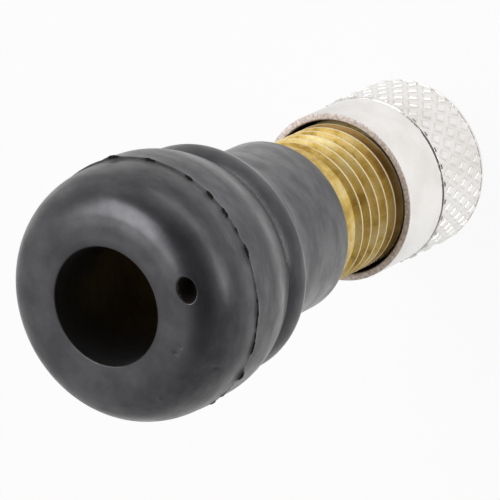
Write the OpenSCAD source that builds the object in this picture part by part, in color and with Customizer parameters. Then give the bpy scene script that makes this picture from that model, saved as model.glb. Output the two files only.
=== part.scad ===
// Snap-in tyre valve: a moulded rubber body on a turned brass stem, with a
// screwed-in valve core and a nickel-plated cap.
// The valve stands on the flat end of its cap. +Z runs up the axis, from the
// cap to the rubber base, and the origin is the middle of the cap's end.

/* [Cap] */
// Length of the cap
cap_h = 7.55; // [7:0.05:9]
// Length of the knurled head
knurl_h = 4.25; // [3:0.05:5]
// How far the knurl stands out from the skirt
knurl_proud = 0.1; // [0.05:0.05:0.3]
// Gap between the skirt's mouth and the valve thread
mouth_gap = 0.195; // [0.1:0.005:0.4]
// Wall of the skirt at its mouth
skirt_wall = 0.38; // [0.3:0.02:0.6]
// Depth of the plain mouth ahead of the thread
mouth_depth = 1.2; // [0.6:0.1:2]
// Thickness of the closed end
end_wall = 0.95; // [0.7:0.05:1.2]
// Rounding of the end's edge
cap_edge = 0.35; // [0.1:0.05:0.6]

/* [Cap seal] */
// Thickness of the rubber disc inside the cap
cap_seal_t = 0.85; // [0.6:0.05:1]

/* [Stem] */
// Outer diameter of the valve thread
thread_d = 7.7; // [7.6:0.05:7.75]
// Ridges of the valve thread in an inch
threads_per_inch = 32; // [28:1:36]
// Depth of the valve thread
thread_cut = 0.45; // [0.3:0.05:0.5]
// Plain brass between the thread and the rubber
plain_h = 0.8; // [0.6:0.1:1.5]
// Length of brass in sight between the cap and the rubber
bare_h = 5.85; // [5:0.05:8]
// Chamfer at the stem's tip
tip_chamfer = 0.45; // [0.2:0.05:0.7]
// Diameter of the waist that the rubber grips
waist_d = 6.4; // [5.6:0.1:6.8]
// Height of the foot that locks the stem in the rubber
foot_h = 1; // [0.6:0.1:1.4]
// Length of full-size stem inside the end of the rubber neck
collar_h = 1; // [0.5:0.1:2]

/* [Rubber body] */
// Diameter of the base flange at the mould parting line
flange_d = 12.8; // [12.4:0.1:14]
// Height of the base flange from the crease behind it to the base face
flange_h = 7.24; // [7:0.02:8]
// Width of the nose's rounding across the base face
nose_w = 1.95; // [1.5:0.05:2.2]
// Height of the nose's rounding
nose_h = 2.82; // [2.4:0.02:3]
// Distance from the base face to the parting line
parting_h = 3.45; // [3.3:0.05:3.6]
// Radius of the bead left on the parting line
bead_r = 0.13; // [0.05:0.01:0.2]
// Radius of the flange's curve from the parting line to the crease
flange_curve = 4.2; // [3.6:0.1:4.4]
// How far the crease lies inside the flange's widest part
crease_inset = 0.65; // [0.5:0.05:0.8]
// How far the sealing ring stands out of the crease
ring_proud = 0.13; // [0.05:0.01:0.3]
// Height of the sealing ring
ring_h = 1.76; // [1.5:0.02:2.2]
// Height of the ring's slope out of the crease
ring_slope = 0.4; // [0.2:0.05:0.6]
// Rounding of the ring's rear edge
ring_edge = 0.5; // [0.2:0.05:0.6]
// Height of the rim groove
groove_h = 1; // [0.8:0.1:1.3]
// Depth of the rim groove below the barb
groove_depth = 0.45; // [0.3:0.05:0.6]
// Height of the barb that snaps through the rim
barb_h = 0.9; // [0.6:0.1:1.2]
// How far the barb stands out from the neck
barb_proud = 0.245; // [0.15:0.005:0.4]
// Wall of the neck at its open end
neck_wall = 0.615; // [0.5:0.005:0.8]
// Radius that the neck gains towards the barb
neck_taper = 0.04; // [0:0.02:0.3]
// Length of the neck
neck_h = 4.15; // [3.5:0.05:7]
// Rounding of the neck's open end
neck_edge = 0.3; // [0.1:0.05:0.4]
// Diameter of the air hole in the base
hole_d = 5.86; // [5.2:0.02:6.2]
// Chamfer at the mouth of the air hole
hole_lip = 0.25; // [0.05:0.05:0.3]
// Diameter of the mould-pin pit in the nose
pit_d = 0.85; // [0.5:0.05:1.1]
// Depth of the mould-pin pit below the base face
pit_depth = 1.1; // [0.6:0.1:1.5]
// Distance of the pit from the axis
pit_r = 4.8; // [4.4:0.1:5]
// Angle of the pit round the axis
pit_angle = 258.5; // [0:0.5:360]

/* [Valve core] */
// Outer diameter of the plug's thread
core_d = 4.9; // [4.7:0.1:5]
// How far the pin's tip lies below the stem's tip
pin_recess = 0.3; // [0.2:0.05:0.6]
// Height of the plug's bridge
bridge_h = 1.4; // [1.2:0.1:1.6]
// Thickness of the plug's bridge across its flats
bridge_w = 2.2; // [1.8:0.1:2.4]
// Thickness of the bridge's roof
roof_t = 0.6; // [0.4:0.1:0.8]
// Height of the plug's threaded part
plug_h = 2.2; // [1.8:0.1:2.6]
// Height of the barrel's shoulder
shoulder_h = 1; // [0.8:0.1:1.2]
// Length of the barrel past its shoulder
barrel_h = 5; // [4.5:0.1:5.6]
// Diameter of the barrel's tube
barrel_d = 2.8; // [2.6:0.05:2.9]
// Bore of the barrel
barrel_bore_d = 2.3; // [2.2:0.02:2.34]
// Height of the barrel's seal ring
barrel_seal_h = 0.9; // [0.7:0.05:1]
// Diameter of the pin
pin_d = 0.9; // [0.8:0.02:0.94]
// Inward travel of the pin
pin_stroke = 1.5; // [1:0.1:1.6]
// Diameter of the cup on the pin
cup_d = 2.9; // [2.7:0.05:3]
// Height of the cup
cup_h = 1.1; // [0.9:0.05:1.3]
// Thickness of the cup's rubber seal
cup_seal_t = 0.8; // [0.7:0.05:0.9]
// Wire of the core spring
wire_d = 0.24; // [0.18:0.02:0.26]
// Turns of the core spring
spring_turns = 5; // [4:1:7]

/* [Clearances] */
// Gap between the cap's bore and the valve thread
thread_play = 0.05; // [0.03:0.01:0.08]
// Gap between the core and the stem, and between bonded faces
seat_play = 0.03; // [0.02:0.01:0.05]
// Gap round the cap's seal
seal_play = 0.15; // [0.1:0.05:0.3]
// Gap round the pin where it slides
pin_play = 0.15; // [0.1:0.01:0.2]

/* [Hidden] */
$fn = 64;

// Room left past a cut so that it comes out clean
over = 0.5;
bore_r = thread_d / 2 + thread_play;
mouth_r = thread_d / 2 + mouth_gap;
skirt_r = mouth_r + skirt_wall;
neck_r = thread_d / 2 + neck_wall;

// Heights of the stack, from the floor up
tip_z = end_wall + cap_seal_t;
neck_z = cap_h + bare_h;
barb_z = neck_z + neck_h;
groove_z = barb_z + barb_h;
ring_z = groove_z + groove_h;
crease_z = ring_z + ring_h;
base_z = crease_z + flange_h;
parting_z = base_z - parting_h;
// The stem's foot is held inside the sealing ring
foot_inset = 0.5;
foot_z = crease_z - foot_inset;
// The thread is cut from its top down to the chamfered tip, with flats an eighth of its pitch wide
inch = 25.4;
pitch = inch / threads_per_inch;
flat_w = pitch / 8;
thread_top_z = neck_z - plain_h;
cuts = floor((thread_top_z - tip_z - tip_chamfer) / pitch);

// Heights of the core, from the pin's tip up
pin_z = tip_z + pin_recess;
pin_spare = 0.4;
bridge_z = pin_z + pin_stroke + pin_spare;
plug_z = bridge_z + bridge_h;
shoulder_z = plug_z + plug_h;
barrel_z = shoulder_z + shoulder_h;
barrel_end_z = barrel_z + barrel_h;
ledge_t = 0.5;
ledge_z = barrel_end_z - ledge_t;
cup_seal_end_z = barrel_end_z + cup_seal_t;
seal_proud = 0.4;
cup_z = barrel_end_z + seal_proud;
cup_end_z = cup_z + cup_h;
rivet_h = 0.4;
pin_end_z = cup_end_z + rivet_h;

// Widths of the core
plug_step = 0.35;
air_gap = 0.4;
plug_r = core_d / 2;
chamber_r = plug_r + seat_play;
shoulder_r = plug_r - plug_step;
throat_r = shoulder_r + seat_play;
head_wall = 0.35;
head_r = barrel_bore_d / 2 + head_wall;
head_h = 0.8;
passage_r = barrel_d / 2 + air_gap;
plug_bore_r = head_r + seat_play;
bridge_inset = 0.2;
pin_r = pin_d / 2;
pin_tip_r = 0.7 * pin_r;
pin_tip_h = 0.5 * pin_r;
ledge_gap = 0.25;
ledge_bore_r = pin_r + ledge_gap;
collar_gap = 0.2;
collar_r = barrel_bore_d / 2 - collar_gap;
collar_t = 0.4;
cup_wall = 0.23;
cup_seal_r = cup_d / 2 - cup_wall - seat_play;
rivet_lip = 0.25;
rivet_r = pin_r + rivet_lip;
spring_r = (pin_r + barrel_bore_d / 2) / 2;

// The chamber's thread runs a little past the plug, and its seat is a cone
thread_run_out = 0.3;
thread_end_z = shoulder_z + thread_run_out;
seal_land = 0.3;
seat_z = barrel_z + seal_land;
cone_h = barrel_seal_h - seal_land + 2 * seat_play;
collar_z = barrel_z - collar_t / 2;
spring_z = collar_z + collar_t;

// Points along an oval arc on the half-plane of a turned profile
function oval(centre, width, height, from, to, steps) = [
    for (i = [0:steps])
        let (a = from + (to - from) * i / steps)
            centre + [width * cos(a), height * sin(a)]
];
function arc(centre, r, from, to, steps) = oval(centre, r, r, from, to, steps);

// The moulded outside of the rubber, from the neck's open end up to the base face
function rubber_outline() =
    let (
        flange_r = flange_d / 2,
        ring_r = flange_r - crease_inset + ring_proud,
        crease_angle = acos(1 - crease_inset / flange_curve),
        curve_z = crease_z + flange_curve * sin(crease_angle),
        neck_end_r = neck_r + neck_taper,
        barb_r = neck_end_r + barb_proud,
        groove_r = barb_r - groove_depth
    )
    concat(
        arc([neck_r - neck_edge, neck_z + neck_edge], neck_edge, -90, 0, 6),
        [[neck_end_r, barb_z], [barb_r, groove_z], [groove_r, groove_z], [groove_r, ring_z]],
        arc([ring_r - ring_edge, ring_z + ring_edge], ring_edge, -90, 0, 6),
        [[ring_r, crease_z - ring_slope]],
        arc([flange_r - flange_curve, curve_z], flange_curve, -crease_angle, 0, 8),
        arc([flange_r, parting_z], bead_r, -90, 90, 6),
        oval([flange_r - nose_w, base_z - nose_h], nose_w, nose_h, 0, 90, 14)
    );

// The rubber's inside, from the base face down the air hole and round the stem
function rubber_inside() =
    let (hole_r = hole_d / 2, stem_r = thread_d / 2 + seat_play, waist_r = waist_d / 2 + seat_play)
    [
        [hole_r + hole_lip, base_z],
        [hole_r, base_z - hole_lip],
        [hole_r, foot_z],
        [stem_r, foot_z],
        [stem_r, foot_z - foot_h - seat_play],
        [waist_r, foot_z - foot_h - seat_play],
        [waist_r, neck_z + collar_h + seat_play],
        [stem_r, neck_z + collar_h + seat_play],
        [stem_r, neck_z]
    ];

module rubber_body() {
    color("#46484b")
    difference() {
        rotate_extrude()
            polygon(concat(rubber_outline(), rubber_inside()));
        rotate([0, 0, pit_angle])
            translate([pit_r, 0, base_z - pit_depth])
                cylinder(h = pit_depth + over, d = pit_d);
    }
}

// The valve thread's cuts as rings, from the tip up
function thread_cuts() =
    let (crest_r = thread_d / 2, root_r = crest_r - thread_cut)
    [
        for (i = [cuts:-1:1])
            let (low = thread_top_z - i * pitch, middle = low + pitch / 2)
                each [
                    [crest_r, low + flat_w / 2],
                    [root_r, middle - flat_w / 2],
                    [root_r, middle + flat_w / 2],
                    [crest_r, low + pitch - flat_w / 2]
                ]
    ];

module brass_stem() {
    color("#b79b4e")
    difference() {
        rotate_extrude()
            polygon(concat(
                [[0, tip_z], [thread_d / 2 - tip_chamfer, tip_z], [thread_d / 2, tip_z + tip_chamfer]],
                thread_cuts(),
                [[thread_d / 2, neck_z + collar_h], [waist_d / 2, neck_z + collar_h]],
                [[waist_d / 2, foot_z - foot_h], [thread_d / 2, foot_z - foot_h]],
                [[thread_d / 2, foot_z], [0, foot_z]]
            ));
        // Core chamber with its cone seat, and the air passage below it
        rotate_extrude()
            polygon([
                [0, tip_z - over],
                [chamber_r, tip_z - over],
                [chamber_r, thread_end_z],
                [throat_r, thread_end_z],
                [throat_r, seat_z],
                [passage_r, seat_z + cone_h],
                [passage_r, foot_z + over],
                [0, foot_z + over]
            ]);
    }
}

module valve_cap() {
    knurl_r = skirt_r + knurl_proud;
    color("#d9d5d0")
    difference() {
        rotate_extrude()
            polygon(concat(
                [[0, 0]],
                arc([knurl_r - cap_edge, cap_edge], cap_edge, -90, 0, 6),
                [[knurl_r, knurl_h - knurl_proud], [skirt_r, knurl_h]],
                [[skirt_r, cap_h], [0, cap_h]]
            ));
        translate([0, 0, end_wall])
            cylinder(h = cap_h, r = bore_r);
        translate([0, 0, cap_h - mouth_depth])
            cylinder(h = mouth_depth + over, r = mouth_r);
    }
}

module cap_seal() {
    color("#2a2a2b")
    translate([0, 0, end_wall])
        cylinder(h = cap_seal_t, r = bore_r - seal_play);
}

module core_plug() {
    color("#c2a55a")
    difference() {
        union() {
            translate([0, 0, plug_z])
                cylinder(h = plug_h, r = plug_r);
            intersection() {
                translate([0, 0, bridge_z])
                    cylinder(h = bridge_h + over, r = plug_r - bridge_inset);
                translate([-plug_r, -bridge_w / 2, bridge_z])
                    cube([2 * plug_r, bridge_w, bridge_h + over]);
            }
        }
        // Air bore, open on both sides of the bridge
        translate([0, 0, bridge_z + roof_t])
            cylinder(h = shoulder_z - bridge_z - roof_t + over, r = plug_bore_r);
        translate([0, 0, bridge_z - over])
            cylinder(h = roof_t + 2 * over, r = pin_r + pin_play);
    }
}

module core_barrel() {
    color("#bfa056")
    difference() {
        rotate_extrude()
            polygon([
                [0, shoulder_z - head_h],
                [head_r, shoulder_z - head_h],
                [head_r, shoulder_z],
                [shoulder_r, shoulder_z],
                [shoulder_r, barrel_z],
                [barrel_d / 2, barrel_z],
                [barrel_d / 2, barrel_end_z],
                [0, barrel_end_z]
            ]);
        translate([0, 0, shoulder_z - head_h - over])
            cylinder(h = ledge_z - shoulder_z + head_h + over, d = barrel_bore_d);
        translate([0, 0, ledge_z - over])
            cylinder(h = ledge_t + 2 * over, r = ledge_bore_r);
    }
}

module core_barrel_seal() {
    seal_r = barrel_d / 2 + seat_play;
    color("#a83a32")
    rotate_extrude()
        polygon([
            [seal_r, barrel_z],
            [shoulder_r, barrel_z],
            [shoulder_r, seat_z - seat_play],
            [passage_r, barrel_z + barrel_seal_h],
            [seal_r, barrel_z + barrel_seal_h]
        ]);
}

module core_pin() {
    color("#c9b168")
    rotate_extrude()
        polygon([
            [0, pin_z],
            [pin_tip_r, pin_z],
            [pin_r, pin_z + pin_tip_h],
            [pin_r, collar_z],
            [collar_r, collar_z],
            [collar_r, spring_z],
            [pin_r, spring_z],
            [pin_r, cup_end_z],
            [rivet_r, cup_end_z],
            [pin_r, pin_end_z],
            [0, pin_end_z]
        ]);
}

module core_cup() {
    color("#b8994d")
    rotate_extrude()
        polygon([
            [pin_r + seat_play, cup_seal_end_z],
            [cup_seal_r + seat_play, cup_seal_end_z],
            [cup_seal_r + seat_play, cup_z],
            [cup_d / 2, cup_z],
            [cup_d / 2, cup_end_z],
            [pin_r + seat_play, cup_end_z]
        ]);
}

module core_cup_seal() {
    color("#232324")
    translate([0, 0, barrel_end_z])
        difference() {
            cylinder(h = cup_seal_t, r = cup_seal_r);
            translate([0, 0, -over])
                cylinder(h = cup_seal_t + 2 * over, r = pin_r + seat_play);
        }
}

// A coil of round wire between two heights
module coil(low, high, coil_r, wire, turns) {
    steps = 20;
    sides = 10;
    last = turns * steps;
    rise = (high - low - wire) / last;
    points = [
        for (i = [0:last], k = [0:sides - 1])
            let (turn = 360 * i / steps, side = 360 * k / sides, r = coil_r + wire / 2 * cos(side))
                [r * cos(turn), r * sin(turn), low + wire / 2 + rise * i + wire / 2 * sin(side)]
    ];
    tube = [
        for (i = [0:last - 1], k = [0:sides - 1])
            let (a = i * sides + k, b = i * sides + (k + 1) % sides)
                [a, a + sides, b + sides, b]
    ];
    ends = [
        [for (k = [0:sides - 1]) k],
        [for (k = [0:sides - 1]) last * sides + sides - 1 - k]
    ];
    polyhedron(points, concat(tube, ends));
}

module core_spring() {
    color("#a9adb1")
    coil(spring_z, ledge_z, spring_r, wire_d, spring_turns);
}

rubber_body();
brass_stem();
valve_cap();
cap_seal();
core_plug();
core_barrel();
core_barrel_seal();
core_spring();
core_pin();
core_cup();
core_cup_seal();
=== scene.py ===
import math

import bmesh
import bpy
from mathutils import Euler, Matrix, Vector, noise


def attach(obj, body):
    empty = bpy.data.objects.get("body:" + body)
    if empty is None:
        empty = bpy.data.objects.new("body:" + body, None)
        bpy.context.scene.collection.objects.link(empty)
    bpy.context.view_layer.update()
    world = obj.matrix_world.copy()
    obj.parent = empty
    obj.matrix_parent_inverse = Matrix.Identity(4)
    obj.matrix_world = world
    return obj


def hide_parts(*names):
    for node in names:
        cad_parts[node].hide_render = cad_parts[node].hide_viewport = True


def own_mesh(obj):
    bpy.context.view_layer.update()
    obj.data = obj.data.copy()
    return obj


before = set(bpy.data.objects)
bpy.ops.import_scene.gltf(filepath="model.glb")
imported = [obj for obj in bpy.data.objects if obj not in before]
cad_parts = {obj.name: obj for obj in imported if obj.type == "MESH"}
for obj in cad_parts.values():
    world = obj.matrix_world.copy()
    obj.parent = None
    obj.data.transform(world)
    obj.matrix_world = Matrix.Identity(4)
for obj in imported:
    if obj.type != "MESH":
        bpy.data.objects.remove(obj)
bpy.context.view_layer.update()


# Brass stem
# The backbone of the valve, turned from free-cutting brass bar on an automatic lathe.
# Its rolled thread takes the cap and the pump, and the rubber is moulded round its foot.
# Sizes are in millimetres: radii from the valve's axis, heights above the cap's flat end.
MM = 0.001
STEM_TIP = 1.8
STEM_FOOT = 20.71
FOOT_HIGH = 1.0
COLLAR = 14.4
WAIST = 3.2
CHAMBER = 2.48
CHAMBER_END = 7.9
SEAT = 2.13
SEAT_END = 8.9
PASSAGE = 1.8
PASSAGE_START = 9.56
THREAD_CREST = 3.85
THREAD_ROOT = 3.4
THREAD_PITCH = 25.4 / 32
THREAD_START = 2.72
THREAD_END = 11.75
THREAD_SINK = 0.08
PLAIN_BAND = THREAD_CREST - 0.03
GREASE_AND_SHADE_RING = 7.7

# A colour mix takes its factor and its two colours at these inputs, and gives its result at this output
MIX_FACTOR = 0
MIX_FIRST = 6
MIX_SECOND = 7
MIX_RESULT = 2


def linear(hex_code):
    """An sRGB hex colour as linear RGBA."""
    parts = [int(hex_code[i:i + 2], 16) / 255 for i in (1, 3, 5)]
    return [c / 12.92 if c <= 0.04045 else ((c + 0.055) / 1.055) ** 2.4 for c in parts] + [1.0]


def set_inputs(tree, node, values):
    """Gives a node's inputs their values, each a constant or the socket that it is linked from."""
    for name, value in values.items():
        if isinstance(value, bpy.types.NodeSocket):
            tree.links.new(value, node.inputs[name])
        else:
            node.inputs[name].default_value = value


def new_node(tree, kind, settings, inputs):
    """Adds a node with its own settings and its inputs."""
    node = tree.nodes.new("ShaderNode" + kind)
    for name, value in settings.items():
        setattr(node, name, value)
    set_inputs(tree, node, inputs)
    return node


def new_material(name):
    """A named material with its shader, its tree and Object coordinates."""
    material = bpy.data.materials.new(name)
    material.use_nodes = True
    tree = material.node_tree
    shader = tree.nodes["Principled BSDF"]
    place = new_node(tree, "TexCoord", {}, {}).outputs["Object"]
    return material, tree, shader, place


def set_ramp(ramp, stops):
    """Gives a colour ramp its stops, as (position, hex colour)."""
    points = ramp.color_ramp.elements
    while len(points) < len(stops):
        points.new(1.0)
    for point, (position, colour) in zip(points, stops):
        point.position = position
        point.color = linear(colour)


def turn_profile(bm, corners, steps, closed=True):
    """Spins a lathe profile round the valve's axis. A corner is a radius, a height, and its rounding,
    segments and the rounding's stretch along the axis where it has them."""
    wire = [bm.verts.new((corner[0] * MM, 0, corner[1] * MM)) for corner in corners]
    for a, b in zip(wire, wire[1:] + wire[:1]):
        if closed or b is not wire[0]:
            bm.edges.new((a, b))
    for vert, (r, z, *rounding) in zip(wire, corners):
        if rounding:
            size, segments, stretch = (rounding + [1])[:3]
            arc = bmesh.ops.bevel(bm, geom=[vert], offset=size * MM, segments=segments, profile=0.5,
                                  affect="VERTICES", material=-1)["verts"]
            bmesh.ops.scale(bm, vec=(1, 1, stretch), verts=arc, space=Matrix.Translation((0, 0, -z * MM)))
    bmesh.ops.spin(bm, geom=bm.verts[:] + bm.edges[:], cent=(0, 0, 0), axis=(0, 0, 1),
                   angle=math.tau, steps=steps, use_merge=True)
    bmesh.ops.remove_doubles(bm, verts=bm.verts, dist=0.001 * MM)
    bmesh.ops.recalc_face_normals(bm, faces=bm.faces)


def roll_thread(base_r, crest_r, start, end, half_base, half_crest, per_turn=96):
    """A closed helical ridge from start to end height, with its ends run out to the base. The two halves
    are half its width at the base and at the crest."""
    bm = bmesh.new()
    turns = (end - start) / THREAD_PITCH
    section = [(base_r, -half_base), (crest_r, -half_crest), (crest_r, half_crest), (base_r, half_base)]
    wire = [bm.verts.new((r * MM, 0, (start + z) * MM)) for r, z in section]
    edges = [bm.edges.new(pair) for pair in zip(wire, wire[1:] + wire[:1])]
    steps = round(turns * per_turn)
    bmesh.ops.spin(bm, geom=wire + edges, cent=(0, 0, 0), axis=(0, 0, 1),
                   dvec=(0, 0, THREAD_PITCH * turns / steps * MM), angle=math.tau * turns, steps=steps)
    bmesh.ops.holes_fill(bm, edges=[e for e in bm.edges if e.is_boundary], sides=4)
    bmesh.ops.recalc_face_normals(bm, faces=bm.faces)
    for vert in bm.verts:
        height = vert.co.z / MM
        run = min(1.0, max(0.0, min(height - start, end - height) / (0.5 * THREAD_PITCH)))
        radius = vert.co.xy.length / MM
        wanted = base_r + (radius - base_r) * run
        vert.co.xy *= wanted / radius
    return bm


def add_piece(name, shells, material, body, node, smooth_angle=35):
    """Makes one object of its bmesh shells, smooth up to an angle, and puts it on its body."""
    mesh = bpy.data.meshes.new(name)
    whole = bmesh.new()
    for shell in shells:
        part = bpy.data.meshes.new(name + "_shell")
        shell.to_mesh(part)
        shell.free()
        whole.from_mesh(part)
        bpy.data.meshes.remove(part)
    for face in whole.faces:
        face.smooth = True
    limit = math.radians(smooth_angle)
    for edge in whole.edges:
        edge.smooth = len(edge.link_faces) == 2 and edge.calc_face_angle(0) < limit
    whole.to_mesh(mesh)
    whole.free()
    piece = bpy.data.objects.new(name, mesh)
    bpy.context.scene.collection.objects.link(piece)
    mesh.materials.append(material)
    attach(piece, body)
    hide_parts(node)
    return piece


stem = bmesh.new()
turn_profile(stem, [
    (CHAMBER, STEM_TIP, 0.15, 2), (THREAD_ROOT, STEM_TIP, 0.12, 2),
    (THREAD_ROOT, THREAD_END - 0.2), (PLAIN_BAND, THREAD_END + 0.1, 0.06, 3), (PLAIN_BAND, COLLAR, 0.04, 2),
    (WAIST, COLLAR), (WAIST, STEM_FOOT - FOOT_HIGH),
    (THREAD_CREST, STEM_FOOT - FOOT_HIGH, 0.05, 2), (THREAD_CREST, STEM_FOOT, 0.08, 2),
    (PASSAGE, STEM_FOOT, 0.2, 2), (PASSAGE, PASSAGE_START),
    (SEAT, SEAT_END), (SEAT, CHAMBER_END), (CHAMBER, CHAMBER_END),
], 144)
thread = roll_thread(THREAD_ROOT - THREAD_SINK, THREAD_CREST, THREAD_START, THREAD_END,
                     half_base=0.385, half_crest=0.045)

# Free-cutting brass from the lathe: warm yellow metal with fine tool lines round it, clouded by tarnish
# and dark specks, with painted highlights along the thread's crests, and browned next to the cap's mouth by
# grease and by painted shade and reflection from the gap there.
brass, tree, shader, place = new_material("turned_brass")
patches = new_node(tree, "TexNoise", {}, {
    "Vector": place, "Scale": 1 / (1.6 * MM), "Detail": 5.0, "Roughness": 0.6,
})
tarnish = new_node(tree, "ValToRGB", {}, {"Fac": patches.outputs["Fac"]})
set_ramp(tarnish, [(0.3, "#a9822f"), (0.48, "#e6c66c"), (0.68, "#f8e6ac")])
specks = new_node(tree, "TexNoise", {}, {"Vector": place, "Scale": 1 / (0.22 * MM), "Detail": 3.0})
dark_specks = new_node(tree, "MapRange", {}, {
    "Value": specks.outputs["Fac"], "From Min": 0.25, "From Max": 0.36, "To Min": 0.5, "To Max": 0.0,
})
speckled = new_node(tree, "Mix", {"data_type": "RGBA"}, {
    MIX_FACTOR: dark_specks.outputs[0], MIX_FIRST: tarnish.outputs["Color"], MIX_SECOND: linear("#6f5526"),
})
height = new_node(tree, "SeparateXYZ", {}, {"Vector": place})
# Next to the cap's mouth the brass is painted brown: grease, plus painted shade and reflection from the gap
# under the mouth
over_ring = new_node(tree, "Math", {"operation": "SUBTRACT"}, {0: height.outputs["Z"], 1: GREASE_AND_SHADE_RING * MM})
ring_far = new_node(tree, "Math", {"operation": "ABSOLUTE"}, {0: over_ring.outputs[0]})
grease_and_shade = new_node(tree, "MapRange", {}, {
    "Value": ring_far.outputs[0], "From Min": 0.25 * MM, "From Max": 0.65 * MM, "To Min": 0.75, "To Max": 0.0,
})
greased_and_shaded = new_node(tree, "Mix", {"data_type": "RGBA"}, {
    MIX_FACTOR: grease_and_shade.outputs[0], MIX_FIRST: speckled.outputs[MIX_RESULT], MIX_SECOND: linear("#8a5c2c"),
})
level_place = new_node(tree, "VectorMath", {"operation": "MULTIPLY"}, {0: place, 1: (1, 1, 0)})
from_axis = new_node(tree, "VectorMath", {"operation": "LENGTH"}, {0: level_place.outputs[0]})
# Painted highlight: the thread's crests are painted pale and made less metallic, so that they show as thin
# bright lines
crest_highlight = new_node(tree, "MapRange", {}, {
    "Value": from_axis.outputs["Value"], "To Max": 0.8,
    "From Min": (THREAD_CREST - 0.025) * MM, "From Max": (THREAD_CREST - 0.01) * MM,
})
crest_highlighted = new_node(tree, "Mix", {"data_type": "RGBA"}, {
    MIX_FACTOR: crest_highlight.outputs[0], MIX_FIRST: greased_and_shaded.outputs[MIX_RESULT], MIX_SECOND: linear("#fff1cc"),
})
oxide = new_node(tree, "MapRange", {}, {"Value": crest_highlight.outputs[0], "To Min": 0.62, "To Max": 0.45})
dull = new_node(tree, "MapRange", {}, {
    "Value": patches.outputs["Fac"], "From Min": 0.3, "From Max": 0.7, "To Min": 0.58, "To Max": 0.44,
})
squeezed = new_node(tree, "Mapping", {"vector_type": "POINT"}, {"Vector": place, "Scale": (0.2, 0.2, 3.0)})
tool_lines = new_node(tree, "TexNoise", {}, {
    "Vector": squeezed.outputs[0], "Scale": 1 / (0.25 * MM), "Detail": 3.0,
})
relief = new_node(tree, "Bump", {}, {
    "Height": tool_lines.outputs["Fac"], "Strength": 0.25, "Distance": 0.01 * MM,
})
set_inputs(tree, shader, {
    "Base Color": crest_highlighted.outputs[MIX_RESULT], "Metallic": oxide.outputs[0], "Roughness": dull.outputs[0],
    "Normal": relief.outputs[0],
})
add_piece("brass_stem_turned", [stem, thread], brass, "stem", "brass_stem")


# Rubber body
# Black EPDM rubber moulded round the stem in a two-part mould: a flange with a sealing ring that bears on
# the rim, a groove and a barb that hold it there, and a neck. Torn flash is left where the halves met.
BASE = 28.45
PARTING = 25.0
FLANGE = 6.4
FLANGE_LOW = 22.11
NOSE_WIDE = 1.95
NOSE_HIGH = 2.82
CREASE = 5.62
CREASE_AT = 21.02
RING = 5.88
RING_LOW = 19.45
RING_HIGH = 20.48
GROOVE = 4.3
BARB = 4.75
BARB_LOW = 17.55
BARB_HIGH = 18.45
NECK = 4.465
NECK_BY_BARB = 4.505
NECK_END = 13.4
HOLE = 2.93
HOLE_LIP = 3.3
HOLE_FADE = 0.2
BASE_FROM = 26
BOND_GAP = 0.03
# Rows of points by the parting line and on the flat face, for the flash, the pit and the dents
PARTING_ROW = 0.06
FACE_ROW = 0.15
# The mould's halves met a little off line, and the lower one shows it from just above the crease
MISMATCH = 0.11
MISMATCH_FROM = 21.3
# The skin near the crease is dull: how much, up to which height, and over what height that fades
DULL = 0.45
DULL_END = 22.6
DULL_FADE = 0.6
# How far flash may stand out along X or Y, and how far above and below the parting line it lies
FLASH_REACH = 6.525
FLASH_ZONE = 0.45
# Bits of flash on the parting line: degrees from -Y towards -X, length, height and stand-out
NUBS = [
    (-76.6, 0.8, 0.36, 0.22), (-56.5, 0.7, 0.3, 0.1), (-36.0, 0.5, 0.22, 0.07), (-23.9, 0.6, 0.34, 0.1),
    (-13.7, 0.7, 0.3, 0.1), (-5.0, 0.5, 0.2, 0.08), (5.3, 0.8, 0.36, 0.12), (31.3, 1.0, 0.34, 0.12),
    (47.3, 1.3, 0.36, 0.13), (63.4, 0.75, 0.55, 0.25), (77.0, 0.45, 0.3, 0.12), (84.0, 0.4, 0.32, 0.14),
    (112.0, 0.6, 0.3, 0.12), (139.0, 0.5, 0.3, 0.14), (158.0, 0.8, 0.3, 0.1), (186.0, 0.5, 0.34, 0.14),
    (214.0, 0.6, 0.3, 0.12), (251.0, 0.5, 0.3, 0.13),
]
# The stretch of the parting line where a thin torn edge is left, and its widest scar, in degrees
TORN_FROM = -18
TORN_TO = 54
SCAR_AT = 38
SCAR_SPREAD = 14
# Small dents and specks in the base: degrees from -Y towards -X, radius, size and depth
DENTS = [(53.0, 4.3, 0.2, 0.07), (47.5, 4.45, 0.14, 0.05), (54.6, 6.0, 0.22, 0.07), (86.0, 5.1, 0.13, -0.05)]
# The mould pin's pit: its place in the base, half width, half length and depth. Its lip and slope are shares
# of the half sizes, and it is painted dark as shade where it is deeper than one part in its shade gain
PIT_AT = Vector((-0.96, -4.70, 0)) * MM
PIT_WIDE = 0.36
PIT_LONG = 0.52
PIT_DEEP = 0.95
PIT_LIP = 1.35
PIT_SLOPE = 0.8
PIT_SHADE_GAIN = 14
PIT_ROUND = 1.15
# The flat face sinks a little where it runs into the nose: from a radius, fully at one, and up to another
RUN_IN_DEEP = 0.07
RUN_IN_FROM = 3.85
RUN_IN_FULL = 4.75
RUN_IN_END = 5.85
# A face marked over more than this share, for broken skin and for painted shade alike, shows the dark torn
# rubber
MARKED_SHARE = 0.68


def hold(value):
    """A value kept between 0 and 1."""
    return min(1.0, max(0.0, value))


def ease(value):
    """A smooth step from 0 to 1."""
    return hold(value) ** 2 * (3 - 2 * hold(value))


def bearing_gap(bearing, mark):
    """Degrees between two bearings, the short way round."""
    return (bearing - mark + 180) % 360 - 180


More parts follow.
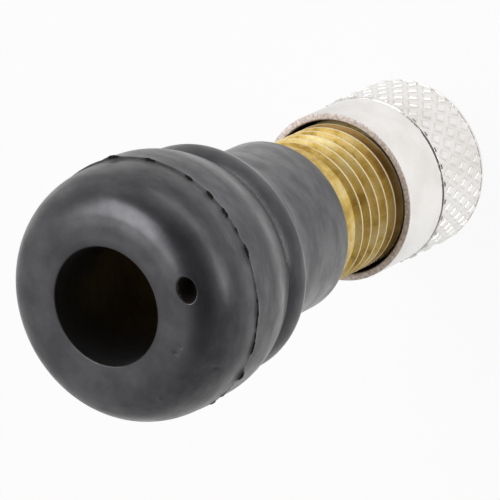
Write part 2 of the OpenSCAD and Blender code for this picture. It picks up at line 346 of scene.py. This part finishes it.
# The rubber's bores lie a hair off the brass that they are bonded to
wide_bore = THREAD_CREST + BOND_GAP
narrow_bore = WAIST + BOND_GAP
foot_ledge = STEM_FOOT - FOOT_HIGH - BOND_GAP
collar_ledge = COLLAR + BOND_GAP
rubber = bmesh.new()
turn_profile(rubber, [
    (wide_bore, NECK_END), (NECK, NECK_END, 0.3, 6), (NECK_BY_BARB, BARB_LOW, 0.3, 4),
    (BARB, BARB_HIGH, 0.08, 3), (GROOVE, BARB_HIGH, 0.1, 3), (GROOVE, RING_LOW, 0.1, 3),
    (RING, RING_LOW, 0.5, 10), (RING, RING_HIGH, 0.5, 12), (CREASE, CREASE_AT, 0.04, 3),
    (FLANGE, FLANGE_LOW, 1.28, 18), *[(FLANGE, PARTING + step * PARTING_ROW) for step in range(-6, 7)],
    (FLANGE, BASE, NOSE_WIDE, 40, NOSE_HIGH / NOSE_WIDE),
    *[(FLANGE - NOSE_WIDE - step * FACE_ROW, BASE) for step in range(1, 8)],
    (HOLE, BASE, 0.12, 5), (HOLE, STEM_FOOT), (wide_bore, STEM_FOOT), (wide_bore, foot_ledge),
    (narrow_bore, foot_ledge), (narrow_bore, collar_ledge), (wide_bore, collar_ledge),
], 360)

# The skin round the pit is cut finer, so that the pit's soft lip has enough points
near = [e for e in rubber.edges if all(
    (v.co.xy - PIT_AT.xy).length < PIT_ROUND * MM and v.co.z > BASE_FROM * MM for v in e.verts)]
bmesh.ops.subdivide_edges(rubber, edges=near, cuts=2, use_grid_fill=True)
pit_out = PIT_AT.normalized()
pit_along = Vector((-pit_out.y, pit_out.x, 0))

# This attribute says how far the moulded skin is broken, and where shade is painted: 0 on whole skin, 1 on
# torn or cut rubber, up to 1 as painted shade on the air hole's wall and in the pit, and a little in the
# dents
broken_skin_and_shade = rubber.verts.layers.float.new("broken_skin_and_shade")
for vert in rubber.verts:
    x, y, z = vert.co / MM
    radius = math.hypot(x, y)
    outward = Vector((x, y, 0)) / radius
    bearing = math.degrees(math.atan2(-x, -y))

    # The air hole's wall is marked dark, as painted shade
    if radius < HOLE_LIP and z > STEM_FOOT:
        vert[broken_skin_and_shade] = hold((HOLE + HOLE_FADE - radius) / HOLE_FADE)

    # The pit and the dents are pushed into the base, and its flat face runs softly into the nose's rounding
    if z > BASE_FROM and radius > HOLE_LIP:
        across = (vert.co - PIT_AT).dot(pit_out) / (PIT_WIDE * MM)
        along = (vert.co - PIT_AT).dot(pit_along) / (PIT_LONG * MM)
        depth = ease((PIT_LIP - math.hypot(across, along)) / PIT_SLOPE)
        vert.co.z -= PIT_DEEP * MM * depth
        # Painted shade: the pit is marked dark, fully once it is a little deep
        vert[broken_skin_and_shade] = max(vert[broken_skin_and_shade], min(1.0, PIT_SHADE_GAIN * depth))
        for dent_bearing, dent_r, size, sink in DENTS:
            aside = math.radians(bearing_gap(bearing, dent_bearing)) * radius
            hollow = math.exp(-(aside ** 2 + (radius - dent_r) ** 2) / (0.5 * size) ** 2)
            vert.co -= (outward * 0.5 + Vector((0, 0, 0.8))) * (sink * hollow * MM)
            # Each dent is marked a little darker towards its middle
            vert[broken_skin_and_shade] = max(vert[broken_skin_and_shade], 0.5 * hollow if sink > 0 else 0.0)
        run_in = ease((radius - RUN_IN_FROM) / (RUN_IN_FULL - RUN_IN_FROM))
        run_out = ease((radius - RUN_IN_FULL) / (RUN_IN_END - RUN_IN_FULL))
        vert.co.z -= RUN_IN_DEEP * MM * run_in * (1 - run_out)

    # The lower half of the mould stood off line, and its skin is dull near the crease
    if CREASE < radius and MISMATCH_FROM < z < PARTING - 0.01:
        vert.co.x += MISMATCH * MM * (z - MISMATCH_FROM) / (PARTING - MISMATCH_FROM)
        vert[broken_skin_and_shade] = DULL * hold((DULL_END - z) / DULL_FADE)

    # The parting line: a thin ragged edge all round, torn on one stretch, and the bits of flash
    if abs(z - PARTING) < FLASH_ZONE and radius > FLANGE - 0.1:
        ragged = noise.noise(Vector((x, y, 0)) * 1.7)
        fine = noise.noise(Vector((x, y, 9)) * 5.0)
        scar = math.exp(-((bearing - SCAR_AT) / SCAR_SPREAD) ** 4)
        edge = math.exp(-((z - PARTING - 0.03 * ragged) / (0.06 + 0.1 * scar)) ** 2)
        stand = edge * max(0.0, 0.03 + 0.02 * ragged + 0.02 * fine)
        torn_share = 0.55 + 0.5 * scar if TORN_FROM < bearing < TORN_TO else 0.1
        mark = edge * max(0.0, torn_share + 0.5 * ragged + 0.5 * fine)
        for nub_bearing, length, tall, out in NUBS:
            aside = math.radians(bearing_gap(bearing, nub_bearing)) * radius / (0.5 * length)
            lump = math.exp(-(aside ** 2 + ((z - PARTING) / (0.5 * tall)) ** 2)) * (0.75 + 0.5 * fine)
            stand = max(stand, out * lump)
            mark = max(mark, 1.6 * lump)
        reach = FLASH_REACH - max(abs(vert.co.x), abs(vert.co.y)) / MM
        vert.co += outward * (min(stand, reach / max(abs(outward.x), abs(outward.y))) * MM)
        vert[broken_skin_and_shade] = max(vert[broken_skin_and_shade], min(1.0, mark))
bmesh.ops.recalc_face_normals(rubber, faces=rubber.faces)

# Moulded EPDM: near-black under a shiny moulding film that takes soft broad highlights, the film clouded
# along the rubber's flow, and brown-black with no film where the skin is broken and where shade is painted.
skin, tree, shader, place = new_material("moulded_epdm_rubber")
clouds = new_node(tree, "TexNoise", {}, {
    "Vector": place, "Scale": 1 / (3.0 * MM), "Detail": 4.0, "Roughness": 0.55,
})
cloud_tint = new_node(tree, "ValToRGB", {}, {"Fac": clouds.outputs["Fac"]})
set_ramp(cloud_tint, [(0.3, "#141416"), (0.5, "#171719"), (0.7, "#1c1c1f")])
torn_and_shaded = new_node(tree, "Attribute", {"attribute_name": "broken_skin_and_shade"}, {})
torn_and_shade_tint = new_node(tree, "Mix", {"data_type": "RGBA"}, {
    MIX_FACTOR: torn_and_shaded.outputs["Fac"], MIX_FIRST: cloud_tint.outputs["Color"], MIX_SECOND: linear("#15130f"),
})
bloom = new_node(tree, "TexNoise", {}, {"Vector": place, "Scale": 1 / (0.9 * MM), "Detail": 3.0})
satin = new_node(tree, "MapRange", {}, {
    "Value": bloom.outputs["Fac"], "From Min": 0.3, "From Max": 0.7, "To Min": 0.28, "To Max": 0.38,
})
dry = new_node(tree, "Math", {"operation": "MULTIPLY_ADD"}, {
    0: torn_and_shaded.outputs["Fac"], 1: 0.4, 2: satin.outputs[0],
})
flow = new_node(tree, "Mapping", {"vector_type": "POINT"}, {"Vector": place, "Scale": (1, 1, 2.4)})
flow_lines = new_node(tree, "TexNoise", {}, {
    "Vector": flow.outputs[0], "Scale": 1 / (1.8 * MM), "Detail": 4.0, "Roughness": 0.6,
})
film = new_node(tree, "MapRange", {}, {
    "Value": flow_lines.outputs["Fac"], "From Min": 0.38, "From Max": 0.62, "To Min": 0.5, "To Max": 1.0,
})
unbroken_unshaded = new_node(tree, "MapRange", {}, {"Value": torn_and_shaded.outputs["Fac"], "To Min": 1.0, "To Max": 0.0})
film_left = new_node(tree, "Math", {"operation": "MULTIPLY"}, {0: film.outputs[0], 1: unbroken_unshaded.outputs[0]})
grain = new_node(tree, "TexNoise", {}, {"Vector": place, "Scale": 1 / (0.35 * MM), "Detail": 4.0})
relief = new_node(tree, "Bump", {}, {"Height": grain.outputs["Fac"], "Strength": 0.12, "Distance": 0.05 * MM})
set_inputs(tree, shader, {
    "Base Color": torn_and_shade_tint.outputs[MIX_RESULT], "Roughness": dry.outputs[0], "Normal": relief.outputs[0],
    "IOR": 1.52, "Specular Tint": (0.9, 0.88, 1.0, 1.0),
    "Coat Weight": film_left.outputs[0], "Coat IOR": 1.64, "Coat Roughness": 0.3,
})

# Torn flash, dull and brown-black with no skin, and the painted shade on the air hole's wall and in the pit,
# all in this dark rubber.
torn_and_shaded_rubber, tree, shader, place = new_material("torn_and_shaded_epdm_rubber")
crumbs = new_node(tree, "TexNoise", {}, {"Vector": place, "Scale": 1 / (0.15 * MM), "Detail": 3.0})
crumb_tint = new_node(tree, "ValToRGB", {}, {"Fac": crumbs.outputs["Fac"]})
set_ramp(crumb_tint, [(0.35, "#151310"), (0.65, "#26211c")])
set_inputs(tree, shader, {
    "Base Color": crumb_tint.outputs["Color"], "Roughness": 0.9, "Specular IOR Level": 0.15,
})

moulded = add_piece("rubber_body_moulded", [rubber], skin, "stem", "rubber_body",
                    smooth_angle=60)
moulded.data.materials.append(torn_and_shaded_rubber)
skin_and_shade_marks = moulded.data.attributes["broken_skin_and_shade"].data
for face in moulded.data.polygons:
    if sum(skin_and_shade_marks[i].value for i in face.vertices) > MARKED_SHARE * len(face.vertices):
        face.material_index = 1


# Valve core
# A spring-loaded check valve screwed into the stem: brass plug, barrel, pin and cup, two rubber seals and
# a steel coil spring. Apart from the spring, the bought-in insert keeps the plain shapes of its solids, and
# so does the rubber disc that is pressed into the cap.
WIRE = 0.24
COIL = 0.8
COIL_TURNS = 5
COIL_STEPS = 48
SPRING_LOW = 8.8
SPRING_HIGH = 13.1

# Brass of the core: cleaner than the stem's, bright where the tools ran and duller in patches.
core_brass, tree, shader, place = new_material("core_brass")
wear = new_node(tree, "TexNoise", {}, {"Vector": place, "Scale": 1 / (0.8 * MM), "Detail": 4.0})
wear_tint = new_node(tree, "ValToRGB", {}, {"Fac": wear.outputs["Fac"]})
set_ramp(wear_tint, [(0.35, "#b08d45"), (0.65, "#d6ba72")])
shine = new_node(tree, "MapRange", {}, {
    "Value": wear.outputs["Fac"], "From Min": 0.3, "From Max": 0.7, "To Min": 0.34, "To Max": 0.2,
})
set_inputs(tree, shader, {
    "Base Color": wear_tint.outputs["Color"], "Metallic": 1.0, "Roughness": shine.outputs[0],
})

# Nitrile seals: dense black rubber, dull and slightly mottled with talc.
seal_black, tree, shader, place = new_material("nitrile_seal_rubber")
talc = new_node(tree, "TexNoise", {}, {"Vector": place, "Scale": 1 / (0.5 * MM), "Detail": 5.0})
talc_tint = new_node(tree, "ValToRGB", {}, {"Fac": talc.outputs["Fac"]})
set_ramp(talc_tint, [(0.4, "#232324"), (0.75, "#3a3a3b")])
set_inputs(tree, shader, {"Base Color": talc_tint.outputs["Color"], "Roughness": 0.65})

# The barrel's seal is coloured brick red, as on many cores, so that a missing one is seen.
seal_red, tree, shader, place = new_material("red_barrel_seal")
dust = new_node(tree, "TexNoise", {}, {"Vector": place, "Scale": 1 / (0.5 * MM), "Detail": 4.0})
dust_tint = new_node(tree, "ValToRGB", {}, {"Fac": dust.outputs["Fac"]})
set_ramp(dust_tint, [(0.35, "#8d2f27"), (0.7, "#a8443a")])
set_inputs(tree, shader, {"Base Color": dust_tint.outputs["Color"], "Roughness": 0.6})

# Stainless spring wire: drawn bright, with faint draw marks.
spring_wire, tree, shader, place = new_material("drawn_spring_steel")
drawn = new_node(tree, "TexNoise", {}, {"Vector": place, "Scale": 1 / (0.15 * MM), "Detail": 3.0})
drawn_tint = new_node(tree, "ValToRGB", {}, {"Fac": drawn.outputs["Fac"]})
set_ramp(drawn_tint, [(0.35, "#a2a5a9"), (0.65, "#c4c6c9")])
set_inputs(tree, shader, {"Base Color": drawn_tint.outputs["Color"], "Metallic": 1.0, "Roughness": 0.28})

# The coil stands between the pin's collar and the barrel's ledge, and shortens as the pin is pressed
coil = bmesh.new()
wire_at = Matrix.Translation((COIL * MM, 0, (SPRING_LOW + 0.5 * WIRE) * MM))
wire_turn = Matrix.Rotation(math.pi / 2, 4, "X")
bmesh.ops.create_circle(coil, segments=12, radius=0.5 * WIRE * MM, matrix=wire_at @ wire_turn)
coil_rise = (SPRING_HIGH - SPRING_LOW - WIRE) / (COIL_TURNS * COIL_STEPS)
bmesh.ops.spin(coil, geom=coil.verts[:] + coil.edges[:], cent=(0, 0, 0), axis=(0, 0, 1),
               dvec=(0, 0, coil_rise * MM), angle=math.tau * COIL_TURNS, steps=COIL_TURNS * COIL_STEPS)
bmesh.ops.holes_fill(coil, edges=[e for e in coil.edges if e.is_boundary])
bmesh.ops.recalc_face_normals(coil, faces=coil.faces)
spring = add_piece("core_spring_wound", [coil], spring_wire, "stem", "core_spring")
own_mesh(spring)

core_finish = {
    "core_plug": core_brass, "core_barrel": core_brass, "core_pin": core_brass, "core_cup": core_brass,
    "core_barrel_seal": seal_red, "core_cup_seal": seal_black, "cap_seal": seal_black,
}
for name, material in core_finish.items():
    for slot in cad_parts[name].material_slots:
        slot.material = material


# Valve cap
# A screw cap turned from brass bar and plated with bright nickel. The head is diamond-knurled for the
# fingers, the skirt is plain, and a fine turned line parts the two.
CAP_END = 7.55
CAP_WALL = 0.95
CAP_BORE = 3.9
CAP_THREAD_END = 6.2
SKIRT = 4.425
MOUTH = 4.045
MOUTH_EDGE = 4.14
TURNED_LINE = 4.27
HEAD = 4.46
HEAD_UNDER_KNURL = 4.4
KNURL_VALLEY = 4.45
KNURL_ROUND = 30
KNURL_ROW = 1.44
KNURL_ROWS = 3
KNURL_TOP_ROW = 4.3
KNURL_LOW = 0.36
KNURL_HIGH = 4.16
KNURL_INSIDE = 4.3
PAD_APART = 0.16
PAD_SLOPE = 0.05
PAD_RISE = 0.075

cap = bmesh.new()
turn_profile(cap, [
    (0, 0), (HEAD, 0, 0.34, 6), (HEAD, KNURL_LOW + 0.02), (HEAD_UNDER_KNURL, KNURL_LOW + 0.04),
    (HEAD_UNDER_KNURL, KNURL_HIGH - 0.02), (HEAD, KNURL_HIGH), (HEAD, KNURL_HIGH + 0.04, 0.03, 2),
    (SKIRT - 0.07, TURNED_LINE - 0.03), (SKIRT - 0.07, TURNED_LINE + 0.02), (SKIRT, TURNED_LINE + 0.07),
    (SKIRT, CAP_END, 0.06, 3), (MOUTH_EDGE, CAP_END, 0.02, 2), (MOUTH, CAP_END - 0.06),
    (MOUTH, CAP_THREAD_END + 0.15), (CAP_BORE, CAP_THREAD_END), (CAP_BORE, CAP_WALL), (0, CAP_WALL),
], 192, closed=False)

# The knurl: a ring of squares is poked and its grid dissolved into diamonds, and each gets a raised pad
knurl = bmesh.new()
levels = [KNURL_TOP_ROW - KNURL_ROW * row for row in range(KNURL_ROWS + 1)]
rows = [knurl.verts.new((KNURL_VALLEY * MM, 0, level * MM)) for level in levels]
column = [knurl.edges.new(pair) for pair in zip(rows, rows[1:])]
bmesh.ops.spin(knurl, geom=rows + column, cent=(0, 0, 0), axis=(0, 0, 1), angle=math.tau,
               steps=KNURL_ROUND, use_merge=True)
bmesh.ops.recalc_face_normals(knurl, faces=knurl.faces)
first = knurl.faces[:][0]
if first.normal.dot(first.calc_center_median()) < 0:
    bmesh.ops.reverse_faces(knurl, faces=knurl.faces)
squares = [e for e in knurl.edges if len(e.link_faces) == 2]
poked = bmesh.ops.poke(knurl, faces=knurl.faces)
for vert in poked["verts"]:
    vert.co.xy *= KNURL_VALLEY * MM / vert.co.xy.length
bmesh.ops.dissolve_edges(knurl, edges=squares, use_verts=False)
diamonds = knurl.faces[:]
bmesh.ops.inset_individual(knurl, faces=diamonds, thickness=PAD_APART * MM, use_even_offset=True)
bmesh.ops.inset_individual(knurl, faces=diamonds, thickness=PAD_SLOPE * MM, depth=PAD_RISE * MM,
                           use_even_offset=True)
for level, cut_up in ((KNURL_LOW, False), (KNURL_HIGH, True)):
    bmesh.ops.bisect_plane(knurl, geom=knurl.verts[:] + knurl.edges[:] + knurl.faces[:],
                           plane_co=(0, 0, level * MM), plane_no=(0, 0, 1),
                           clear_inner=not cut_up, clear_outer=cut_up)
rims = [e for e in knurl.edges if e.is_boundary]
inward = bmesh.ops.extrude_edge_only(knurl, edges=rims)["geom"]
for vert in [g for g in inward if isinstance(g, bmesh.types.BMVert)]:
    vert.co.xy *= KNURL_INSIDE * MM / vert.co.xy.length
bmesh.ops.bridge_loops(knurl, edges=[e for e in knurl.edges if e.is_boundary])
bmesh.ops.recalc_face_normals(knurl, faces=knurl.faces)

# The cap's own thread sits half a pitch off the stem's, so that its teeth run in the grooves
cap_thread = roll_thread(CAP_BORE + THREAD_SINK, THREAD_ROOT + 0.1, THREAD_START - 0.5 * THREAD_PITCH,
                         CAP_THREAD_END - 0.1, half_base=0.33, half_crest=0.04)

# Bright nickel on turned brass: pale warm mirror, a little hazy, with painted shade in the turned line,
# a duller pitted rim where the plating is thin, and painted brown shade and reflection inside the mouth and a
# little round the foot of each pad.
nickel, tree, shader, place = new_material("bright_nickel_plate")
haze = new_node(tree, "TexNoise", {}, {"Vector": place, "Scale": 1 / (2.2 * MM), "Detail": 4.0})
haze_tint = new_node(tree, "ValToRGB", {}, {"Fac": haze.outputs["Fac"]})
set_ramp(haze_tint, [(0.3, "#eae6e2"), (0.55, "#f3f0ed"), (0.75, "#f6f4f2")])
height = new_node(tree, "SeparateXYZ", {}, {"Vector": place})
# Painted shade: the turned line is painted dark, broken up in patches
over_line = new_node(tree, "Math", {"operation": "SUBTRACT"}, {0: height.outputs["Z"], 1: TURNED_LINE * MM})
line_far = new_node(tree, "Math", {"operation": "ABSOLUTE"}, {0: over_line.outputs[0]})
line_in = new_node(tree, "MapRange", {}, {
    "Value": line_far.outputs[0], "From Min": 0.03 * MM, "From Max": 0.07 * MM, "To Min": 1.0, "To Max": 0.0,
})
line_breakup = new_node(tree, "TexNoise", {}, {"Vector": place, "Scale": 1 / (0.7 * MM), "Detail": 3.0})
line_shade_left = new_node(tree, "MapRange", {}, {"Value": line_breakup.outputs["Fac"], "From Min": 0.42, "From Max": 0.55})
line_shade = new_node(tree, "Math", {"operation": "MULTIPLY"}, {0: line_in.outputs[0], 1: line_shade_left.outputs[0]})
line_shaded = new_node(tree, "Mix", {"data_type": "RGBA"}, {
    MIX_FACTOR: line_shade.outputs[0], MIX_FIRST: haze_tint.outputs["Color"], MIX_SECOND: linear("#3a3530"),
})
rim = new_node(tree, "MapRange", {}, {
    "Value": height.outputs["Z"], "From Min": (CAP_END - 0.06) * MM, "From Max": (CAP_END - 0.01) * MM,
})
pits = new_node(tree, "TexNoise", {}, {"Vector": place, "Scale": 1 / (0.18 * MM), "Detail": 3.0})
pit_tint = new_node(tree, "ValToRGB", {}, {"Fac": pits.outputs["Fac"]})
set_ramp(pit_tint, [(0.35, "#d0bfb7"), (0.65, "#fbf4f0")])
rimmed = new_node(tree, "Mix", {"data_type": "RGBA"}, {
    MIX_FACTOR: rim.outputs[0], MIX_FIRST: line_shaded.outputs[MIX_RESULT], MIX_SECOND: pit_tint.outputs["Color"],
})
# Painted shade from the "shaded" attribute: brown inside the mouth and round the foot of each pad
shaded = new_node(tree, "Attribute", {"attribute_name": "shaded"}, {})
plated = new_node(tree, "Mix", {"data_type": "RGBA"}, {
    MIX_FACTOR: shaded.outputs["Fac"], MIX_FIRST: rimmed.outputs[MIX_RESULT], MIX_SECOND: linear("#4f3a22"),
})
oxide = new_node(tree, "MapRange", {}, {"Value": rim.outputs[0], "To Min": 1.0, "To Max": 0.25})
hazy = new_node(tree, "MapRange", {}, {
    "Value": haze.outputs["Fac"], "From Min": 0.3, "From Max": 0.7, "To Min": 0.3, "To Max": 0.2,
})
rough_rim = new_node(tree, "Math", {"operation": "MULTIPLY_ADD"}, {
    0: rim.outputs[0], 1: 0.4, 2: hazy.outputs[0],
})
ripple = new_node(tree, "Bump", {}, {"Height": pits.outputs["Fac"], "Strength": 0.15, "Distance": 0.01 * MM})
set_inputs(tree, shader, {
    "Base Color": plated.outputs[MIX_RESULT], "Metallic": oxide.outputs[0], "Roughness": rough_rim.outputs[0],
    "Normal": ripple.outputs[0],
})
knurled = add_piece("valve_cap_knurled", [cap, knurl, cap_thread], nickel, "cap", "valve_cap")

# Painted shade: the plating inside the mouth is painted brown for the shade and the brass's reflection there,
# and a little painted shade lies round the foot of each pad
shade = knurled.data.attributes.new("shaded", "FLOAT", "POINT")
for vert, spot in zip(knurled.data.vertices, shade.data):
    radius = vert.co.xy.length / MM
    if radius < MOUTH + 0.015 and vert.co.z > (CAP_WALL - 0.05) * MM:
        spot.value = 1.0
    elif radius < KNURL_VALLEY + 0.03 and KNURL_LOW < vert.co.z / MM < KNURL_HIGH:
        spot.value = 0.2 if radius < KNURL_VALLEY - 0.001 else 0.04


# Table, light and camera
# A table of white paper under a softbox, with two low strips that draw thin streaks on the rubber and a
# white surround that is dim behind the lens and on one side. The table glows white to the lens, and the valve
# mirrors it as white only in a painted pool of light round it. The camera stands where the photograph was
# taken.
TABLE_HALF = 1.5
TABLE_DROP = 0.02 * MM
WHITE_SHARE = 0.93
POOL_AT = (0, -15 * MM, 0)
POOL_FULL = 12 * MM
POOL_END = 34 * MM
WHITE = (1, 1, 1, 1)
VALVE_MIDDLE = Vector((0, 0, 16 * MM))
CAMERA_AIM = Vector((-0.535, 0, 16.1)) * MM
CAMERA_FAR = 248.5 * MM
CAMERA_ELEVATION = math.radians(53.3)
CAMERA_ROLL = math.radians(-115.6)
LENS_SIDE = Vector((0, -math.cos(CAMERA_ELEVATION), math.sin(CAMERA_ELEVATION)))
DIM_SIDE = Vector((-0.9, -0.1, 0.42))

floor_mesh = bpy.data.meshes.new("table")
bm = bmesh.new()
bmesh.ops.create_grid(bm, x_segments=1, y_segments=1, size=TABLE_HALF)
bmesh.ops.translate(bm, verts=bm.verts, vec=(0, 0, -TABLE_DROP))
bm.to_mesh(floor_mesh)
bm.free()
table = bpy.data.objects.new("table", floor_mesh)
bpy.context.scene.collection.objects.link(table)

# Matt white paper, which shows white to the lens and keeps a trace of the valve's shadow
paper, tree, shader, place = new_material("white_table_paper")
set_inputs(tree, shader, {"Base Color": linear("#dedede"), "Roughness": 0.9, "Specular IOR Level": 0.0})
ray = new_node(tree, "LightPath", {}, {})
# Painted light: the valve's mirror rays see the table glow white only in a pool round it, fading away from it
from_pool = new_node(tree, "VectorMath", {"operation": "DISTANCE"}, {0: place, 1: POOL_AT})
pool = new_node(tree, "MapRange", {"interpolation_type": "SMOOTHSTEP"}, {
    "Value": from_pool.outputs["Value"], "From Min": POOL_FULL, "From Max": POOL_END,
    "To Min": 1.0, "To Max": 0.0,
})
mirrored = new_node(tree, "Math", {"operation": "MULTIPLY"}, {
    0: ray.outputs["Is Glossy Ray"], 1: pool.outputs[0],
})
seen = new_node(tree, "Math", {"operation": "MAXIMUM"}, {
    0: ray.outputs["Is Camera Ray"], 1: mirrored.outputs[0],
})
seen_through = new_node(tree, "Math", {"operation": "MAXIMUM"}, {
    0: seen.outputs[0], 1: ray.outputs["Is Transmission Ray"],
})
white_share = new_node(tree, "Math", {"operation": "MULTIPLY"}, {0: seen_through.outputs[0], 1: WHITE_SHARE})
glow = new_node(tree, "Emission", {}, {"Color": WHITE, "Strength": 1.0})
white = new_node(tree, "MixShader", {}, {0: white_share.outputs[0], 1: shader.outputs[0], 2: glow.outputs[0]})
set_inputs(tree, tree.nodes["Material Output"], {"Surface": white.outputs[0]})
floor_mesh.materials.append(paper)

# The surround: white air that dims towards the lens and towards one side, and plain white behind the valve
scene = bpy.context.scene
scene.view_settings.view_transform = "Standard"
world = bpy.data.worlds.new("white_surround")
scene.world = world
world.use_nodes = True
tree = world.node_tree
tree.nodes.clear()
compass = new_node(tree, "TexCoord", {}, {}).outputs["Generated"]
facing = new_node(tree, "VectorMath", {"operation": "DOT_PRODUCT"}, {0: compass, 1: LENS_SIDE})
lens_side = new_node(tree, "MapRange", {"interpolation_type": "SMOOTHSTEP"}, {
    "Value": facing.outputs["Value"], "From Min": 0.35, "From Max": 0.9, "To Min": 0.7, "To Max": 0.2,
})
sideways = new_node(tree, "VectorMath", {"operation": "DOT_PRODUCT"}, {0: compass, 1: DIM_SIDE})
dim_side = new_node(tree, "MapRange", {"interpolation_type": "SMOOTHSTEP"}, {
    "Value": sideways.outputs["Value"], "From Min": 0.3, "From Max": 0.95, "To Min": 1.0, "To Max": 0.65,
})
surround = new_node(tree, "Math", {"operation": "MULTIPLY"}, {
    0: lens_side.outputs[0], 1: dim_side.outputs[0],
})
ray = new_node(tree, "LightPath", {}, {})
open_air = new_node(tree, "Background", {}, {"Color": WHITE, "Strength": surround.outputs[0]})
backdrop = new_node(tree, "Background", {}, {"Color": WHITE, "Strength": 1.0})
shown = new_node(tree, "MixShader", {}, {
    0: ray.outputs["Is Camera Ray"], 1: open_air.outputs[0], 2: backdrop.outputs[0],
})
new_node(tree, "OutputWorld", {}, {"Surface": shown.outputs[0]})


def add_softbox(name, towards, distance, width, depth, watts, spin=0):
    """A rectangular lamp in a direction from the valve's middle, aimed at it and spun about its own axis."""
    lamp = bpy.data.lights.new(name, "AREA")
    lamp.shape = "RECTANGLE"
    lamp.size = width
    lamp.size_y = depth
    lamp.energy = watts
    box = bpy.data.objects.new(name, lamp)
    way = Vector(towards).normalized()
    box.location = VALVE_MIDDLE + way * distance
    aimed = (-way).to_track_quat("-Z", "Y").to_matrix()
    box.rotation_euler = (aimed @ Matrix.Rotation(math.radians(spin), 3, "Z")).to_euler()
    scene.collection.objects.link(box)


# A softbox overhead, and two narrow strips just above the table in front of the valve
add_softbox("key_softbox", (0.42, 0.16, 0.89), distance=0.5, width=0.36, depth=0.22, watts=1.25, spin=28)
add_softbox("side_strip", (0.6, -0.8, -0.09), distance=0.15, width=0.15, depth=0.014, watts=0.035)
add_softbox("low_strip", (-0.22, -0.96, -0.07), distance=0.15, width=0.11, depth=0.012, watts=0.025)

# A long lens, set so that the hole, the flange, the neck and the cap lie where the photograph shows them
lens = bpy.data.cameras.new("photo_lens")
lens.lens = 360
lens.sensor_width = 36
lens.clip_start = 0.01
lens.clip_end = 10
camera = bpy.data.objects.new("photo_camera", lens)
scene.collection.objects.link(camera)
camera.location = CAMERA_AIM + CAMERA_FAR * LENS_SIDE
tilt = Euler((math.pi / 2 - CAMERA_ELEVATION, 0, 0)).to_matrix()
camera.rotation_euler = (tilt @ Matrix.Rotation(CAMERA_ROLL, 3, "Z")).to_euler()
scene.camera = camera
